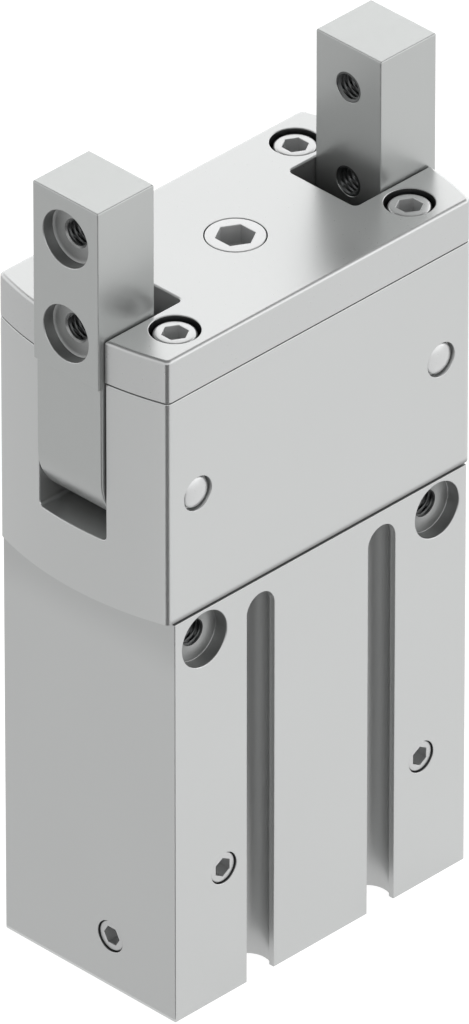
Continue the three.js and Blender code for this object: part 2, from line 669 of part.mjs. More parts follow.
function pistonGroup() {
  const set = new THREE.Group();
  set.name = "piston_set";
  set.add(
    piston(),
    pistonSeal("piston_seal_lower", PISTON_SEALS[0]),
    pistonSeal("piston_seal_upper", PISTON_SEALS[1]),
    pistonMagnet(),
    lowBuffer(),
    highBuffer(),
    pistonRod(),
    crosshead(),
    socketScrew("crosshead_screw", HEAD_SCREW, 0, 0, DARK_STEEL),
  );
  set.userData.stroke = STROKE;
  return set;
}

const group = new THREE.Group();
group.name = "radial_gripper";
group.add(
  fixedGroup(),
  pistonGroup(),
  jawSet("right", (shape) => shape),
  jawSet("left", turnedAround),
);

export default group;
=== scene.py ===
"""Looks of a radial pneumatic gripper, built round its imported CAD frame.

Sizes are in millimetres in the gripper's frame: X across the jaws, -Y the sensor slot side, Z up.
"""

import json
import math

import bmesh
import bpy
from mathutils import Matrix, Vector


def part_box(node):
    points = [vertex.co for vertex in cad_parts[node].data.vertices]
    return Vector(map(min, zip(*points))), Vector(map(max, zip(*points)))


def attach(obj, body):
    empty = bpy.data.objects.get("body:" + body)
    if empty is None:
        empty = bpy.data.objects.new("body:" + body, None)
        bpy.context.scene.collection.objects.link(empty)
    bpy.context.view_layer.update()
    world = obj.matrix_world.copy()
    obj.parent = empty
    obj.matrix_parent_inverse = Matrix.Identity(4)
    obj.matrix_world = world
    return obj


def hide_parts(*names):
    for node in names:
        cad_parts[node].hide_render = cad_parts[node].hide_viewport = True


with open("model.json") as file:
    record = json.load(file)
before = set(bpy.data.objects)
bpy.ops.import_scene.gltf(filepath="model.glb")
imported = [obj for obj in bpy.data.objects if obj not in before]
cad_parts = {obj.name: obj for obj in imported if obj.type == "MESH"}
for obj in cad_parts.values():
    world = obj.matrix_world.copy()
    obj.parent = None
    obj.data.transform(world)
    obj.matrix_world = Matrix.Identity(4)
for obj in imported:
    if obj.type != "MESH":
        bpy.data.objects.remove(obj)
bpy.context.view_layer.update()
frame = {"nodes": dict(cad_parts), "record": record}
MM = 0.001

# ---- how finely round things are cut ----
ROUND_STEPS = 72
SMALL_STEPS = 48
FILLET_STEPS = 4
SMOOTH_ANGLE = math.radians(36)
# Degrees that every hexagon socket is turned, so that it points a corner along its local Y.
HEXAGON_TURN = 90


def box_mm(node):
    """Lowest and highest corner of a CAD node, in millimetres."""
    low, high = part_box(node)
    return low / MM, high / MM


BODY_LOW, BODY_HIGH = box_mm("cylinder_body")
HOUSING_LOW, HOUSING_HIGH = box_mm("mechanism_housing")
PLATE_LOW, PLATE_HIGH = box_mm("top_plate")
JAW_HIGH = box_mm("jaw_right")[1]
PIN_LOW, PIN_HIGH = box_mm("pivot_pin_right")
FRONT, BACK = BODY_LOW.y, BODY_HIGH.y

# ---- cylinder body ----
BODY_EDGE = {"upright": 0.22, "base": 0.15, "top": 0.1}
SEAT = {
    "x": 24.0, "z": 64.2, "r": 4.55, "edge": 0.18, "depth": 2.3,
    "cone_r": 3.1, "lip_r": 2.2, "lip": 2.6, "thread": 2.8,
}
SEAT_HOLE = {"thread_end": 12.8, "run_out": 13.0, "core_from": 13.3, "depth": 18.0}
SLOT = {"x": 12.5, "lip": 2.8, "neck": 1.0, "axis": 2.8, "r": 3.6, "top": 63.98, "edge": 0.15}
PORT = {"left": -20.05, "right": 20.95, "z": 22.4, "r": 2.58, "edge": 0.12, "depth": 6.0}
BACK_PORT = {"thread_end": 6.9, "depth": 7.0, "cone": 8.0}
BASE_HOLE = {"x": 24.0, "y": 11.0, "depth": 11.0}
# M5 holes on the back and base: how much wider the mouth is, its rounding, and where the thread starts.
TAPPED_LEAD, TAPPED_EDGE, TAPPED_START = 0.1, 0.25, 0.5
AIR_HOLE = {"r": 1.25, "top": 6.5, "bottom": 9.0}
BALL_HOLE = {"r": 1.5, "edge": 0.15, "depth": 6.0}
BORE = {"r": 12.5, "top": 53.3}
BORE_SEAT_R = 14.1
RING_GROOVE = {"r": 15.0, "bottom": 1.4, "top": 2.8}
COVER_TOP = box_mm("bottom_cover")[1].z

# ---- housing and plate ----
CASE = {"half_y": HOUSING_HIGH.y, "apex": HOUSING_HIGH.x, "end_r": 55.0, "corner": 1.1}
HOUSING_FOOT_EDGE = 0.9
JOINT_EDGE = 0.15
JOINT = {"gap": 0.18, "foot_gap": 0.2, "depth": 0.6, "foot_depth": 1.4}
PLATE_EDGE = 0.6
POCKET = {"half_x": 27.4, "half_y": 6.8, "floor": 72.5, "corner": 2.0}
END_SLOT = {"floor": 80.4, "corner": 0.8, "edge": 0.2}
PLATE_SLOT = {"x": 17.7, "half_y": 6.8, "corner": 0.8, "edge": 0.3}
PLATE_SCREW = {"x": 24.0, "y": 11.6, "well_r": 3.8, "edge": 0.16, "seat": 110.1}
CASE_SCREW = {"x": 18.3, "y": 12.6, "well_r": 3.1, "seat": 75.2}
PLATE_SCREW_HOLE = {"plate_r": 2.2, "housing_r": 2.05, "depth": 12}
PLATE_SCREW_SHAPE = {"shank_r": 2.0, "head": 4.0, "socket": 3.55}
ROD_HOLE_R = 6.6
PIN_WELL = {"r": 2.78, "edge": 0.12, "depth": 1.2}
PIN_HOLE = {"r": 2.56, "top": 1.3, "depth": 14}
CENTRE_HOLE_R = 4.65
CENTRE_PLUG = {"socket": 5.25, "deep": 3.2, "edge": 0.12}
PORT_PLUG = {"r": 2.52, "length": 4.6, "socket": 2.77, "deep": 2.4, "edge": 0.3}

# ---- jaws ----
PIVOT = Vector(((PIN_LOW.x + PIN_HIGH.x) / 2, 0, (PIN_LOW.z + PIN_HIGH.z) / 2))
FINGER = {"inner": 23.14, "outer": JAW_HIGH.x, "half_y": JAW_HIGH.y, "bottom": 106.4, "top": JAW_HIGH.z}
LEVER = {
    "half_y": JAW_HIGH.y - 0.02, "reach": 9.0, "inner": 1.66,
    "heel_r": 9.7, "heel_rise": 1.1, "edge": 0.35,
}
JAW_BORE = {"zs": (113.4, 129.4), "r": 4.55, "depth": 2.0, "floor_r": 4.12, "floor_depth": 2.25}
FINGER_EDGE = 0.22
FORK = {"half_y": 3.3, "x": 1.2, "z": 1.0, "hub_r": 5.0}
BUSH_HOLE_R = 3.56
DRIVE = {"arm": 11.0, "direction": 225.0, "hub_r": 5.6, "boss_r": 4.0, "hole": 1.8, "edge": 0.25}

# ---- metric screw threads: core radius, outer radius, pitch ----
M5 = (2.07, 2.5, 0.8)
JAW_THREAD = (2.0, 2.45, 0.8)

AXIS_TURN = {
    "+z": Matrix.Identity(4),
    "-z": Matrix.Rotation(math.pi, 4, "X"),
    "-y": Matrix.Rotation(math.pi / 2, 4, "X"),
    "+y": Matrix.Rotation(-math.pi / 2, 4, "X"),
    "+x": Matrix.Rotation(math.pi / 2, 4, "Y"),
    "-x": Matrix.Rotation(-math.pi / 2, 4, "Y"),
}
CORNERS = ((1, -1), (1, 1), (-1, 1), (-1, -1))
# Material slots of a piece after its own one.
HOLE_SHADE_FINISH, BORED_FINISH, SOCKET_FINISH, SEAT_FINISH = 1, 2, 3, 4


# ================= mesh tools =================

def new_object(name, bm):
    """A linked object holding bm, which is in millimetres."""
    bmesh.ops.scale(bm, vec=(MM, MM, MM), verts=bm.verts)
    bmesh.ops.recalc_face_normals(bm, faces=bm.faces)
    mesh = bpy.data.meshes.new(name)
    bm.to_mesh(mesh)
    bm.free()
    obj = bpy.data.objects.new(name, mesh)
    bpy.context.scene.collection.objects.link(obj)
    return obj


def arc(cx, cy, r, start, end, steps):
    """Points round part of a circle, angles in degrees."""
    points = []
    for i in range(steps + 1):
        a = math.radians(start + (end - start) * i / steps)
        points.append((cx + r * math.cos(a), cy + r * math.sin(a)))
    return points


def place(bm, at, axis, turn=0.0):
    """Turns bm by turn degrees about its own +Z, points that along axis and moves its origin to at."""
    spin = Matrix.Rotation(math.radians(turn), 4, "Z")
    bm.transform(Matrix.Translation(Vector(at)) @ AXIS_TURN[axis] @ spin)
    return bm


def lathe(profile, at, axis="+z", steps=ROUND_STEPS, turn=0.0):
    """A closed solid of revolution. The profile is (radius, height) pairs, from axis to axis."""
    bm = bmesh.new()
    rows = []
    for r, h in profile:
        if r < 1e-9:
            rows.append([bm.verts.new((0, 0, h))])
            continue
        ring = []
        for i in range(steps):
            a = 2 * math.pi * i / steps
            ring.append(bm.verts.new((r * math.cos(a), r * math.sin(a), h)))
        rows.append(ring)
    for low, high in zip(rows, rows[1:]):
        for i in range(steps):
            j = (i + 1) % steps
            corners = [low[i % len(low)], low[j % len(low)], high[j % len(high)], high[i % len(high)]]
            distinct = list(dict.fromkeys(corners))
            if len(distinct) > 2:
                bm.faces.new(distinct)
    return place(bm, at, axis, turn)


def prism(outline, low, high, at=(0, 0, 0), axis="+z", turn=0.0):
    """An outline in the local XY plane, pushed along local Z from low to high."""
    bm = bmesh.new()
    bottom = [bm.verts.new((x, y, low)) for x, y in outline]
    top = [bm.verts.new((x, y, high)) for x, y in outline]
    bm.faces.new(bottom[::-1])
    bm.faces.new(top)
    for i in range(len(outline)):
        j = (i + 1) % len(outline)
        bm.faces.new((bottom[i], bottom[j], top[j], top[i]))
    return place(bm, at, axis, turn)


def round_rims(bm, height, width):
    """Rounds the edges of bm that lie in the plane at that height."""
    bm.normal_update()
    rim = [e for e in bm.edges if all(abs(v.co.z - height) < 1e-6 for v in e.verts)]
    bmesh.ops.bevel(bm, geom=rim, offset=width, segments=FILLET_STEPS, profile=0.5, affect="EDGES")
    return bm


def block(low, high, edge=0.0):
    """A box from one corner to the other, its edges rounded by edge."""
    bm = bmesh.new()
    bmesh.ops.create_cube(bm, size=1.0)
    size, middle = Vector(high) - Vector(low), (Vector(low) + Vector(high)) / 2
    bm.transform(Matrix.Translation(middle) @ Matrix.Diagonal((*size, 1)))
    if edge:
        bmesh.ops.bevel(bm, geom=bm.edges[:], offset=edge, segments=FILLET_STEPS, profile=0.5, affect="EDGES")
    return bm


def rounded_box(x0, x1, y0, y1, r, steps=6):
    """Outline of a rectangle with round corners, anticlockwise."""
    return [
        *arc(x1 - r, y0 + r, r, -90, 0, steps), *arc(x1 - r, y1 - r, r, 0, 90, steps),
        *arc(x0 + r, y1 - r, r, 90, 180, steps), *arc(x0 + r, y0 + r, r, 180, 270, steps),
    ]


def mouth(r, edge, steps=3):
    """The rounded mouth of a hole at height 0, from above the face down to the wall at radius r."""
    rim = arc(r + edge, -edge, edge, 90, 180, steps)
    return [(r + edge, 1.0), (r + edge, 0.002), *rim[1:]]


def combine(base, others, operation="DIFFERENCE"):
    """base with every other bmesh cut from it, or joined to it."""
    target = new_object("work", base)
    tools = [new_object("tool", bm) for bm in others]
    for tool in tools:
        step = target.modifiers.new("step", "BOOLEAN")
        step.operation = operation
        step.solver = "MANIFOLD"
        step.object = tool
    bpy.context.view_layer.update()
    depsgraph = bpy.context.evaluated_depsgraph_get()
    made = bpy.data.meshes.new_from_object(target.evaluated_get(depsgraph))
    bm = bmesh.new()
    bm.from_mesh(made)
    bmesh.ops.scale(bm, vec=(1 / MM, 1 / MM, 1 / MM), verts=bm.verts)
    for obj in [target, *tools]:
        bpy.data.objects.remove(obj)
    return bm


def cut(base, *tools):
    return combine(base, tools)


def join(base, *others):
    return combine(base, others, "UNION")


def add_threads(bm, *others):
    """bm with threads added beside its own faces, in the dark hole finish, which is a painted shade."""
    for other in others:
        for face in other.faces:
            face.material_index = HOLE_SHADE_FINISH
        part = bpy.data.meshes.new("part")
        other.to_mesh(part)
        other.free()
        bm.from_mesh(part)
        bpy.data.meshes.remove(part)
    return bm


def mark_hole(bm, finish, at, axis, radius, depth):
    """Gives the faces inside a round hole one of the extra finishes."""
    back = (Matrix.Translation(Vector(at)) @ AXIS_TURN[axis]).inverted()
    for face in bm.faces:
        middle = back @ face.calc_center_median()
        if -depth < middle.z < -0.1 and middle.xy.length < radius:
            face.material_index = finish
    return bm


def mark_slot(bm, x):
    """Gives the faces inside a T-slot the bored finish."""
    for face in bm.faces:
        middle = face.calc_center_median()
        deep = middle.y - FRONT
        if abs(middle.x - x) < SLOT["r"] + 0.05 and 0.1 < deep < SLOT["axis"] + SLOT["r"] + 0.05:
            face.material_index = BORED_FINISH


def finish_piece(name, bm, body, node, slot, skin=None):
    """Smooths bm, gives it its material, or skin instead, and lets it stand for a CAD node."""
    obj = new_object(name, bm)
    obj.data.shade_smooth()
    obj.data.set_sharp_from_angle(angle=SMOOTH_ANGLE)
    used = max(polygon.material_index for polygon in obj.data.polygons)
    for material in (skin or BY_SLOT[slot], HOLE_SHADE, BORED, SOCKET, SEATED)[:used + 1]:
        obj.data.materials.append(material)
    normals = obj.modifiers.new("even_normals", "WEIGHTED_NORMAL")
    normals.keep_sharp = True
    normals.weight = 50
    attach(obj, body)
    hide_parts(node)


# ================= features =================

def thread(size, top, bottom, at, axis):
    """The helical wall of a tapped hole between two heights below its face, as a closed sleeve."""
    core, outer, pitch = size
    steps, rows_per_turn = 32, 8
    rows = int((top - bottom) / pitch * rows_per_turn)
    bm = bmesh.new()
    grid = []
    for k in range(rows + 1):
        z = top - pitch * k / rows_per_turn
        ring = []
        for i in range(steps):
            # Flat crests and roots with straight flanks between, fading in over the first half turn.
            phase = (k / rows_per_turn + i / steps) % 1.0
            depth = min(1.0, max(0.0, 1.6 * abs(2 * phase - 1) - 0.3))
            r = core + (outer - core) * depth * min(1.0, 2 * k / rows_per_turn)
            a = 2 * math.pi * i / steps
            ring.append(bm.verts.new((r * math.cos(a), r * math.sin(a), z)))
        grid.append(ring)
    shell = outer + 0.12
    for z in (top - pitch * rows / rows_per_turn, top):
        turns = [2 * math.pi * i / steps for i in range(steps)]
        grid.append([bm.verts.new((shell * math.cos(a), shell * math.sin(a), z)) for a in turns])
    for low, high in zip(grid, grid[1:] + grid[:1]):
        for i in range(steps):
            j = (i + 1) % steps
            bm.faces.new((low[i], low[j], high[j], high[i]))
    return place(bm, at, axis)


def hexagon(across_flats, depth, at, axis="+z"):
    """A socket cutter: a hexagonal hole with a fine lead at its mouth and a drill point at its end."""
    r = across_flats / math.sqrt(3)
    profile = [(0, 1.0), (r + 0.07, 1.0), (r + 0.07, 0.002), (r, -0.07), (r, -depth), (0, -depth - 0.3 * r)]
    return lathe(profile, at, axis, 6, HEXAGON_TURN)


def plug(r, length, across_flats, socket_depth, edge, at, axis):
    """A set screw: its face is at height 0 and its body goes down from there."""
    body = lathe([
        (0, -length), (r - edge, -length), (r, -length + edge), (r, -edge),
        *arc(r - edge, -edge, edge, 0, 90, 3)[1:], (0, 0),
    ], at, axis, SMALL_STEPS)
    return cut(body, hexagon(across_flats, socket_depth, at, axis))


def tapped_hole(depth, cone, at, axis):
    """The cutter for an M5 hole: a chamfered mouth, the thread's room and the drill's cone."""
    r = M5[1]
    profile = [(0, 1.0), *mouth(r + TAPPED_LEAD, TAPPED_EDGE), (r, -TAPPED_START), (r, -depth), (0, -cone)]
    return lathe(profile, at, axis, SMALL_STEPS)


def sleeve_seat(x, face, axis):
    """A centring sleeve's seat with its cone, and the clearance down to the thread."""
    r, depth = SEAT["r"], SEAT["depth"]
    profile = [
        (0, 1.0), *mouth(r, SEAT["edge"]), (r, -depth + 0.08), (r - 0.08, -depth), (SEAT["cone_r"], -depth),
        (SEAT["lip_r"], -SEAT["lip"]), (SEAT["lip_r"], -SEAT["thread"]), (M5[1], -SEAT["thread"]),
        (M5[1], -SEAT_HOLE["run_out"]), (M5[0], -SEAT_HOLE["core_from"]),
        (M5[0], -SEAT_HOLE["depth"]), (0, -SEAT_HOLE["depth"]),
    ]
    return lathe(profile, (x, face, SEAT["z"]), axis)


def t_slot(x):
    """A T-slot for sensors, open at the base, with the round end its cutter leaves."""
    lip, edge, r, axis = SLOT["lip"], SLOT["edge"], SLOT["r"], SLOT["axis"]
    start = -math.degrees(math.asin((axis - SLOT["neck"]) / r))
    wall = arc(0, axis, r, start, 90, 16)
    rim = [(lip + edge, -1.0), (lip + edge, -0.002), *arc(lip + edge, edge, edge, 270, 180, 3)[1:]]
    half = [*rim, (lip, SLOT["neck"]), *wall]
    # Depth runs into the body, so the section's second value is added to the front face.
    section = [(px, FRONT + depth) for px, depth in half]
    mirrored = [(-px, y) for px, y in reversed(section[:-1])]
    outline = [(x + px, y) for px, y in [*section, *mirrored]]
    run = prism(outline, -1.0, SLOT["top"])
    end = lathe([(0, 1.0), *[(px, -depth) for px, depth in half[:-1]], (0, -half[-1][1])],
                (x, FRONT, SLOT["top"]), "-y")
    return [run, end]


# ================= cylinder body =================

def cylinder_body():
    outline = rounded_box(BODY_LOW.x, BODY_HIGH.x, BODY_LOW.y, BODY_HIGH.y, BODY_EDGE["upright"])
    base = prism(outline, BODY_LOW.z, BODY_HIGH.z)
    round_rims(base, BODY_LOW.z, BODY_EDGE["base"])
    round_rims(base, BODY_HIGH.z, BODY_EDGE["top"])
    tools, threads = [], []
    for x in (-SEAT["x"], SEAT["x"]):
        for face, axis in ((FRONT, "-y"), (BACK, "+y")):
            tools.append(sleeve_seat(x, face, axis))
            end = -SEAT_HOLE["thread_end"]
            threads.append(thread(M5, -SEAT["thread"], end, (x, face, SEAT["z"]), axis))
    for x in (-SLOT["x"], SLOT["x"]):
        tools += t_slot(x)
    air, bottom = AIR_HOLE["r"], AIR_HOLE["bottom"]
    well = [
        (0, 1.0), *mouth(PORT["r"], PORT["edge"]), (PORT["r"], -PORT["depth"]),
        (air, -AIR_HOLE["top"]), (air, -bottom), (0, -bottom),
    ]
    for x in (PORT["left"], PORT["right"]):
        tools.append(lathe(well, (x, FRONT, PORT["z"]), "-y", SMALL_STEPS))
        at = (x, BACK, PORT["z"])
        tools.append(tapped_hole(BACK_PORT["depth"], BACK_PORT["cone"], at, "+y"))
        threads.append(thread(M5, -TAPPED_START, -BACK_PORT["thread_end"], at, "+y"))
    end_ports = []
    for node, axis in (("port_plug_end_left", "-x"), ("port_plug_end_right", "+x")):
        low, high = box_mm(node)
        at = (BODY_LOW.x if axis == "-x" else BODY_HIGH.x, (low.y + high.y) / 2, (low.z + high.z) / 2)
        tools.append(lathe(well, at, axis, SMALL_STEPS))
        end_ports.append((at, axis))
    seat = [
        (0, -1.0), (BORE_SEAT_R + 0.3, -1.0), (BORE_SEAT_R + 0.3, 0.0), (BORE_SEAT_R, 0.3),
        (BORE_SEAT_R, RING_GROOVE["bottom"]), (RING_GROOVE["r"], RING_GROOVE["bottom"]),
        (RING_GROOVE["r"], RING_GROOVE["top"]), (BORE_SEAT_R, RING_GROOVE["top"]),
        (BORE_SEAT_R, COVER_TOP), (BORE["r"], COVER_TOP), (BORE["r"], BORE["top"]), (0, BORE["top"]),
    ]
    tools.append(lathe(seat, (0, 0, 0)))
    for sx, sy in CORNERS:
        at = (sx * BASE_HOLE["x"], sy * BASE_HOLE["y"], 0)
        depth = BASE_HOLE["depth"]
        tools.append(tapped_hole(depth - 1, depth, at, "-z"))
        threads.append(thread(M5, -TAPPED_START, 1.2 - depth, at, "-z"))
    for node in ("channel_ball_left", "channel_ball_right"):
        low, high = box_mm(node)
        at = ((low.x + high.x) / 2, (low.y + high.y) / 2, 0)
        r, depth = BALL_HOLE["r"], BALL_HOLE["depth"]
        profile = [(0, 1.0), *mouth(r, BALL_HOLE["edge"]), (r, -depth), (0, -depth)]
        tools.append(lathe(profile, at, "-z", SMALL_STEPS))
    bm = cut(base, *tools)
    # Painted shade: the sleeve seats take the darker seat finish.
    for x in (-SEAT["x"], SEAT["x"]):
        for face, axis in ((FRONT, "-y"), (BACK, "+y")):
            mark_hole(bm, SEAT_FINISH, (x, face, SEAT["z"]), axis, SEAT["r"], SEAT["thread"] + 0.1)
    # Painted shade: the walls of the front and end air ports take the dark hole finish.
    for x in (PORT["left"], PORT["right"]):
        mark_hole(bm, HOLE_SHADE_FINISH, (x, FRONT, PORT["z"]), "-y", PORT["r"] + 0.02, bottom + 0.1)
    for at, axis in end_ports:
        mark_hole(bm, HOLE_SHADE_FINISH, at, axis, PORT["r"] + 0.02, bottom + 0.1)
    for x in (-SLOT["x"], SLOT["x"]):
        mark_slot(bm, x)
    return add_threads(bm, *threads)


# ================= housing and plate =================

def case_outline(inset=0.0):
    """Flat front and back, bowed ends, round corners, anticlockwise."""
    corner, end_r = max(0.2, CASE["corner"] - inset), CASE["end_r"] - inset
    centre = CASE["apex"] - CASE["end_r"]
    cy = CASE["half_y"] - inset - corner
    cx = centre + math.sqrt((end_r - corner) ** 2 - cy**2)
    meet = math.degrees(math.atan2(cy, cx - centre))
    half = [
        *arc(cx, -cy, corner, -90, -meet, 8)[:-1],
        *arc(centre, 0, end_r, -meet, meet, 32),
        *arc(cx, cy, corner, meet, 90, 8)[1:],
    ]
    return [*half, *[(-x, -y) for x, y in half]]


def case_block(low, high, low_edge, high_edge):
    bm = prism(case_outline(), low, high)
    round_rims(bm, low, low_edge)
    return round_rims(bm, high, high_edge)


def mechanism_housing():
    foot = HOUSING_LOW.z
    rim = case_block(foot + JOINT["foot_gap"], HOUSING_HIGH.z, HOUSING_FOOT_EDGE, JOINT_EDGE)
    base = join(rim, prism(case_outline(JOINT["foot_depth"]), foot, foot + 1))
    top = HOUSING_HIGH.z
    half_x, half_y = POCKET["half_x"], POCKET["half_y"]
    pocket = rounded_box(-half_x, half_x, -half_y, half_y, POCKET["corner"])
    tools = [prism(pocket, POCKET["floor"], top + 1)]
    opening = rounded_box(-half_y, half_y, END_SLOT["floor"], top + 8, END_SLOT["corner"])
    # Drawn in (Y, Z): local X goes along -Z once the prism points along +X, so it is turned upright.
    for axis, turn in (("+x", 90), ("-x", -90)):
        sign = 1 if axis == "+x" else -1
        drawn = [(y * sign, z) for y, z in opening]
        tools.append(prism(drawn if sign > 0 else drawn[::-1], 20, CASE["apex"] + 2, (0, 0, 0), axis, turn))
        tools.append(end_slot_lead(sign))
    tools.append(lathe([(0, -2), (ROD_HOLE_R, -2), (ROD_HOLE_R, 10), (0, 10)], (0, 0, foot)))
    for x in (-PIVOT.x, PIVOT.x):
        for face, axis in ((-CASE["half_y"], "-y"), (CASE["half_y"], "+y")):
            r, deep = PIN_HOLE["r"], PIN_HOLE["depth"]
            well = [*mouth(PIN_WELL["r"], PIN_WELL["edge"]), (PIN_WELL["r"], -PIN_WELL["depth"])]
            profile = [(0, 1.0), *well, (r, -PIN_HOLE["top"]), (r, -deep), (0, -deep)]
            tools.append(lathe(profile, (x, face, PIVOT.z), axis))
    for sx, sy in CORNERS:
        at = (sx * CASE_SCREW["x"], sy * CASE_SCREW["y"], top)
        depth = top - CASE_SCREW["seat"]
        r = CASE_SCREW["well_r"]
        tools.append(lathe([(0, 1.0), *mouth(r, 0.1), (r, -depth), (0, -depth)], at, "+z", SMALL_STEPS))
        at = (sx * PLATE_SCREW["x"], sy * PLATE_SCREW["y"], top)
        r, depth = PLATE_SCREW_HOLE["housing_r"], PLATE_SCREW_HOLE["depth"]
        tools.append(lathe([(0, 1.0), (r, 1.0), (r, -depth), (0, -depth)], at, "+z", SMALL_STEPS))
    return cut(base, *tools)


def mark_slot_ends(bm, x, half_y):
    """Paints light into the plate slots' inner end walls: gives them the socket finish, a less metallic copy
    of the metal that looks lighter there.
    """
    for face in bm.faces:
        middle = face.calc_center_median()
        if abs(abs(middle.x) - x) < 0.6 and abs(middle.y) < half_y and abs(face.normal.z) < 0.1:
            face.material_index = SOCKET_FINISH
    return bm


def top_plate():
    low, high = PLATE_LOW.z, PLATE_HIGH.z
    rim = case_block(low + JOINT["gap"], high, JOINT_EDGE, PLATE_EDGE)
    base = join(rim, prism(case_outline(JOINT["depth"]), low, low + 1))
    tools = []
    x, half_y, corner, edge = (PLATE_SLOT[k] for k in ("x", "half_y", "corner", "edge"))
    for sign in (1, -1):
        outline = rounded_box(x, 45, -half_y, half_y, corner)
        wide = rounded_box(x - edge, 45, -half_y - edge, half_y + edge, corner + edge)
        if sign < 0:
            outline = [(-px, -py) for px, py in outline]
            wide = [(-px, -py) for px, py in wide]
        tools.append(prism(outline, low - 1, high + 1))
        tools.append(slot_lead(outline, wide, high, edge))
    tools.append(lathe([(0, 1.0), *mouth(CENTRE_HOLE_R, 0.1), (CENTRE_HOLE_R, -10), (0, -10)], (0, 0, high)))
    for sx, sy in CORNERS:
        at = (sx * PLATE_SCREW["x"], sy * PLATE_SCREW["y"], high)
        r, depth = PLATE_SCREW["well_r"], high - PLATE_SCREW["seat"]
        shank_r = PLATE_SCREW_HOLE["plate_r"]
        edge = PLATE_SCREW["edge"]
        profile = [(0, 1.0), *mouth(r, edge), (r, -depth), (shank_r, -depth), (shank_r, -10), (0, -10)]
        tools.append(lathe(profile, at))
    bm = mark_slot_ends(cut(base, *tools), x, half_y)
    # Painted shade: the walls and floors of the screw wells take the dark hole finish, as the shade round the
    # screw heads.
    for sx, sy in CORNERS:
        at = (sx * PLATE_SCREW["x"], sy * PLATE_SCREW["y"], high)
        mark_hole(bm, HOLE_SHADE_FINISH, at, "+z", r + 0.02, depth + 0.1)
    return bm


def end_slot_lead(sign):
    """Rounds the mouth of an end slot where it meets the bowed end."""
    half, floor, corner, edge = POCKET["half_y"], END_SLOT["floor"], END_SLOT["corner"], END_SLOT["edge"]
    top = HOUSING_HIGH.z + 8
    narrow = u_outline(half, floor, top, corner)
    wide = u_outline(half + edge, floor - edge, top, corner + edge)
    centre = CASE["apex"] - CASE["end_r"]

    def face(y):
        return centre + math.sqrt(CASE["end_r"] ** 2 - y**2)

    rows = []
    for share, drop in lead_steps(edge):
        rows.append([(sign * (face(y) - drop), sign * y, z) for y, z in between(narrow, wide, share)])
    rows.append([(sign * (CASE["apex"] + 2), sign * y, z) for y, z in wide])
    return stacked(rows)


def u_outline(half, floor, top, corner):
    """An upright slot's outline with many points along its floor, anticlockwise."""
    run = half - corner
    along = [(-run + 2 * run * i / 16, floor) for i in range(1, 16)]
    return [
        (-half, top), *arc(-run, floor + corner, corner, 180, 270, 6), *along,
        *arc(run, floor + corner, corner, 270, 360, 6), (half, top),
    ]


def slot_lead(narrow, wide, height, edge):
    """A cutter that rounds the top edge of a slot: narrow below, wide at the face, convex in between."""
    rows = []
    for share, drop in lead_steps(edge):
        rows.append([(x, y, height - drop) for x, y in between(narrow, wide, share)])
    rows.append([(w[0], w[1], height + 1) for w in wide])
    return stacked(rows)


def between(narrow, wide, share):
    """The outline at a share of the way from a narrow one to a wide one."""
    return [(n[0] + (w[0] - n[0]) * share, n[1] + (w[1] - n[1]) * share) for n, w in zip(narrow, wide)]


def lead_steps(edge):
    """How far a rounded edge has widened, and how deep it still is, from the wall to just above the face."""
    steps = []
    for k in range(4):
        a = math.radians(30 * k)
        drop = edge - edge * math.sin(a)
        steps.append((1 - math.cos(a), drop - (0.002 if k == 3 else 0)))
    return steps


def stacked(rows):
    """A closed solid through rows of points, capped at both ends."""
    bm = bmesh.new()
    rows = [[bm.verts.new(co) for co in row] for row in rows]
    bm.faces.new(rows[0][::-1])
    bm.faces.new(rows[-1])
    for low, high in zip(rows, rows[1:]):
        for i in range(len(low)):
            j = (i + 1) % len(low)
            bm.faces.new((low[i], low[j], high[j], high[i]))
    return bm


def plate_screw(node):
    """A cap screw standing on its seat, from its CAD box."""
    low, high = box_mm(node)
    at = ((low.x + high.x) / 2, (low.y + high.y) / 2, high.z)
    r = (high.x - low.x) / 2
    shank, head, across_flats = (PLATE_SCREW_SHAPE[k] for k in ("shank_r", "head", "socket"))
    edge = r * 0.15
    length = high.z - low.z
    body = lathe([
        (0, -length), (shank - 0.4, -length), (shank, 0.4 - length), (shank, -head), (r - 0.15, -head),
        (r, 0.15 - head), *arc(r - edge, -edge, edge, 0, 90, 6), (0, 0),
    ], at, "+z", ROUND_STEPS)
    deep = head * 0.55
    bm = cut(body, hexagon(across_flats, deep, at))
    # The socket takes the socket finish: broached, and less metallic so that it looks lighter, which is
    # partly painted light.
    return mark_hole(bm, SOCKET_FINISH, at, "+z", across_flats * 0.59, deep + 2)


def centre_plug():
    low, high = box_mm("centre_plug")
    across_flats, deep, edge = (CENTRE_PLUG[k] for k in ("socket", "deep", "edge"))
    bm = plug((high.x - low.x) / 2, high.z - low.z, across_flats, deep, edge, (0, 0, high.z), "+z")
    # The socket takes the socket finish: broached, and less metallic so that it looks lighter, which is
    # partly painted light.
    return mark_hole(bm, SOCKET_FINISH, (0, 0, high.z), "+z", across_flats * 0.59, deep + 2)


def port_plug(node, axis):
    """A set screw in an air port, its face where the CAD node has it."""
    low, high = box_mm(node)
    middle = (low + high) / 2
    face = {
        "-y": (middle.x, low.y, middle.z),
        "-x": (low.x, middle.y, middle.z),
        "+x": (high.x, middle.y, middle.z),
    }[axis]
    r, length, across_flats, deep, edge = (PORT_PLUG[k] for k in ("r", "length", "socket", "deep", "edge"))
    return plug(r, length, across_flats, deep, edge, face, axis)


